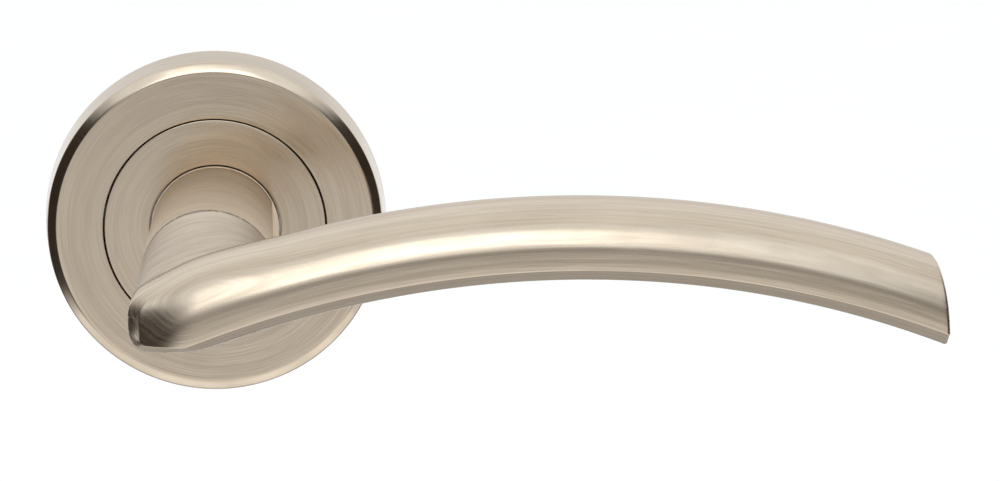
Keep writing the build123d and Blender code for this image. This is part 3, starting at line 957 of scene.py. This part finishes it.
screwLow, screwHigh = boxSize("wood_screws")
screw = {
    "head": screwHigh.x,
    "headEdge": 0.14,
    "length": screwHigh.y - screwLow.y,
    "front": -screwLow.y,
    "offset": screwHigh.z - screwHigh.x,
    "recess": 1.5,
    "recessWaist": 0.34,
    "lobeCurve": 5,
    "recessDepth": 1.1,
    # Share of the cross's size and depth below the face, from its floor to the rim
    "recessPath": [(0.25, 1.1), (0.55, 1.1), (0.80, 0.55), (0.97, 0.07), (1.05, 0.0)],
    # Ring midway over the face, as shares of the cross and of the head
    "faceCross": 0.4,
    "faceHead": 0.5,
    # Under the head: the cone's end and the start of the plain shank
    "coneEnd": (1.5, 1.2),
    "shankStart": 1.55,
    "shank": 1.15,
    "crest": 1.5,
    "root": 0.98,
    "pitch": 1.3,
    "ridge": 0.20,
    "threadFrom": 6.0,
    "runIn": 1.0,
    "point": 3.5,
    "pointCurve": 0.8,
    "perPitch": 14,
    "segments": 72,
}


def screwRings(turn):
    # Rings of radius and depth below the face, from the recess outwards and down to the point
    lobes = np.abs(np.cos(2 * turn)) ** screw["lobeCurve"]
    cross = screw["recess"] * (screw["recessWaist"] + (1 - screw["recessWaist"]) * lobes)
    plain = np.ones(len(turn))
    rings = [(cross * share, depth) for share, depth in screw["recessPath"]]
    rings += [
        (cross * screw["faceCross"] + plain * screw["head"] * screw["faceHead"], 0.0),
        (plain * (screw["head"] - screw["headEdge"]), 0.0),
        (plain * screw["head"], screw["headEdge"]),
        (plain * screw["coneEnd"][0], screw["coneEnd"][1]),
        (plain * screw["shank"], screw["shankStart"]),
    ]
    start = screw["threadFrom"] - screw["runIn"]
    count = int((screw["length"] - start) / screw["pitch"] * screw["perPitch"])
    for k in range(count):
        depth = start + (screw["length"] - start) * k / count
        phase = (depth / screw["pitch"] - turn / (2 * math.pi)) % 1
        ridge = np.clip(1 - np.abs(phase - 0.5) / screw["ridge"], 0, 1)
        grown = ease((depth - start) / screw["runIn"])
        core = screw["shank"] + (screw["root"] - screw["shank"]) * grown
        taper = min((screw["length"] - depth) / screw["point"], 1) ** screw["pointCurve"]
        rings.append(((core + (screw["crest"] - core) * ridge * grown) * taper, depth))
    return rings


def screwMesh():
    turn = np.linspace(0, 2 * math.pi, screw["segments"], endpoint=False)
    verts, faces = [], []
    for side in (-1, 1):
        first = sum(len(part) for part in verts)
        rings = screwRings(turn)
        for radius, depth in rings:
            height = np.full(len(turn), screw["front"] - depth)
            middle = side * screw["offset"]
            verts.append(np.stack([radius * np.cos(turn), radius * np.sin(turn) + middle, height], 1))
        for depth in (screw["recessDepth"], screw["length"]):
            verts.append(np.array([[0, side * screw["offset"], screw["front"] - depth]]))
        faces += [tuple(first + index for index in face) for face in closedFaces(len(rings), len(turn))]
    return np.concatenate(verts) * mm, faces


screwSteel = plainFinish(
    "screwSteel", (0.74, 0.71, 0.62), (0.50, 0.48, 0.40), (0.22, 0.38), 1500.0, (1, 0.15, 1), 0.25
)
screwVerts, screwFaces = screwMesh()
screwPiece = makePiece("woodScrews", screwVerts, screwFaces, screwSteel, "rose")
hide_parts("wood_screws")
print("wood screws made")


# Materials of the carried-over pieces, by material slot

slotLooks = {
    "zinc_casting": plainFinish(
        "zincCasting", (0.56, 0.57, 0.58), (0.34, 0.35, 0.37), (0.42, 0.62), 900.0, bump=0.5, pits=0.5
    ),
    "screw_steel": screwSteel,
    "pin_steel": plainFinish(
        "pinSteel", (0.60, 0.60, 0.61), (0.38, 0.38, 0.40), (0.22, 0.36), 2200.0, (1, 0.1, 1), 0.2
    ),
    "spring_steel": plainFinish(
        "springSteel", (0.30, 0.30, 0.32), (0.14, 0.14, 0.16), (0.3, 0.46), 1800.0, (1, 1, 0.3), 0.25
    ),
    "black_steel": plainFinish(
        "blackSteel", (0.06, 0.06, 0.065), (0.02, 0.02, 0.022), (0.38, 0.55), 1600.0, metallic=0.8
    ),
    "spindle_steel": plainFinish(
        "spindleSteel", (0.68, 0.67, 0.64), (0.44, 0.43, 0.40), (0.26, 0.42), 1400.0, (1, 0.04, 1), 0.3
    ),
    "nylon": plainFinish(
        "nylon", (0.84, 0.82, 0.74), (0.70, 0.68, 0.60), (0.45, 0.6), 700.0, bump=0.2, metallic=0.0
    ),
    "rubber": plainFinish(
        "rubber", (0.035, 0.035, 0.036), (0.015, 0.015, 0.016), (0.6, 0.8), 900.0, bump=0.35, metallic=0.0
    ),
}
for entry in frame["record"]["subparts"]:
    slotName = entry["material_slot"]
    holder = frame["nodes"][entry["node"]]
    finish = slotLooks.get(slotName, nickelRound)
    for slot in holder.material_slots:
        slot.material = finish
print("materials assigned")
